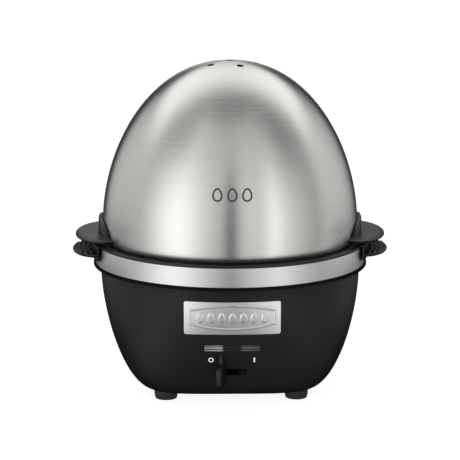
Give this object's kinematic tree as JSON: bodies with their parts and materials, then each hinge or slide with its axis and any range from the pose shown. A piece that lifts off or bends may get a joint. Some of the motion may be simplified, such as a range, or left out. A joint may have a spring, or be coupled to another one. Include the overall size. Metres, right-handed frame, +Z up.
{
  "type": "egg cooker",
  "caption": "Electric egg cooker: black base with steel band, heated water pan, stacked egg racks with side grips, and an egg-shaped steel lid with handles and steam vents.",
  "frame": {"origin": "on the table plane, under the middle of the four feet", "axes": "+Z up; the front with the switch lever faces -Y; the grips stand out along +X and -X"},
  "size_m": [0.2124, 0.1844, 0.2197],
  "materials": {
    "brushed_steel": "satin, brushed round the axis",
    "aluminium": "spun satin",
    "zinc_steel": "zinc plated",
    "brass": "satin",
    "housing_plastic": "satin moulded",
    "rack_plastic": "satin moulded",
    "handle_plastic": "satin moulded",
    "smoke_plastic": "moulded",
    "white_plastic": "moulded",
    "board": "coated board",
    "silicone": "matt",
    "rubber": "matt",
    "lead_sheath": "satin",
    "clear_plastic": "clear",
    "lamp_glass": "clear"
  },
  "bodies": {
    "base": {"base_housing": "housing_plastic", "bottom_cover": "smoke_plastic", "steel_band": "brushed_steel", "pan_seal": "silicone", "heating_pan": "aluminium", "heat_shield": "aluminium", "heating_element": "zinc_steel", "thermostat": "smoke_plastic", "thermostat_strap": "zinc_steel", "thermal_fuse": "brass", "lamp_lens": "clear_plastic", "neon_lamp": "lamp_glass", "lamp_holder": "smoke_plastic", "badge_plate": "brushed_steel", "switch_body": "white_plastic", "lever_pivot_pin": "zinc_steel", "pivot_clip": "zinc_steel", "buzzer_board": "board", "buzzer": "smoke_plastic", "terminal_block": "white_plastic", "cord_gland": "rubber", "gland_nut": "smoke_plastic", "lead_switch": "lead_sheath", "lead_element": "lead_sheath", "lead_return": "lead_sheath", "foot_front_left": "rubber", "foot_front_right": "rubber", "foot_rear_left": "rubber", "foot_rear_right": "rubber", "element_tab_left": "zinc_steel", "element_tab_right": "zinc_steel", "pan_spacer_1": "zinc_steel", "pan_spacer_2": "zinc_steel", "pan_spacer_3": "zinc_steel", "pan_screw_1": "zinc_steel", "pan_screw_2": "zinc_steel", "pan_screw_3": "zinc_steel", "cover_screw_1": "zinc_steel", "cover_screw_2": "zinc_steel", "cover_screw_3": "zinc_steel", "switch_screw_1": "zinc_steel", "switch_screw_2": "zinc_steel", "board_screw_1": "zinc_steel", "board_screw_2": "zinc_steel"},
    "lever": {"power_lever": "housing_plastic"},
    "slider": {"switch_slider": "white_plastic"},
    "lower_rack": {"lower_egg_rack": "rack_plastic"},
    "upper_rack": {"upper_egg_rack": "rack_plastic", "rack_post": "rack_plastic"},
    "lid": {"lid_dome": "brushed_steel", "lid_handle_left": "handle_plastic", "lid_handle_right": "handle_plastic", "lid_screw_1": "zinc_steel", "lid_screw_2": "zinc_steel", "lid_screw_3": "zinc_steel", "lid_screw_4": "zinc_steel"}
  },
  "joints": [
    {"name": "lower_rack_lift", "type": "slide", "parent": "base", "child": "lower_rack", "axis": [0, 0, 1], "range_m": [0, 0.06]},
    {"name": "upper_rack_lift", "type": "slide", "parent": "lower_rack", "child": "upper_rack", "axis": [0, 0, 1], "range_m": [0, 0.02]},
    {"name": "lid_lift", "type": "slide", "parent": "lower_rack", "child": "lid", "axis": [0, 0, 1], "range_m": [0, 0.12]},
    {"name": "lever_turn", "type": "hinge", "parent": "base", "child": "lever", "pos_m": [0, -0.051, 0.0254], "axis": [0, 0, 1], "range_deg": [0, 28]},
    {"name": "slider_slide", "type": "slide", "parent": "base", "child": "slider", "axis": [-1, 0, 0], "range_m": [0, 0.0059]}
  ],
  "couplings": [
    {"joint": "slider_slide", "follows": "lever_turn", "m_per_rad": 0.011881}
  ]
}
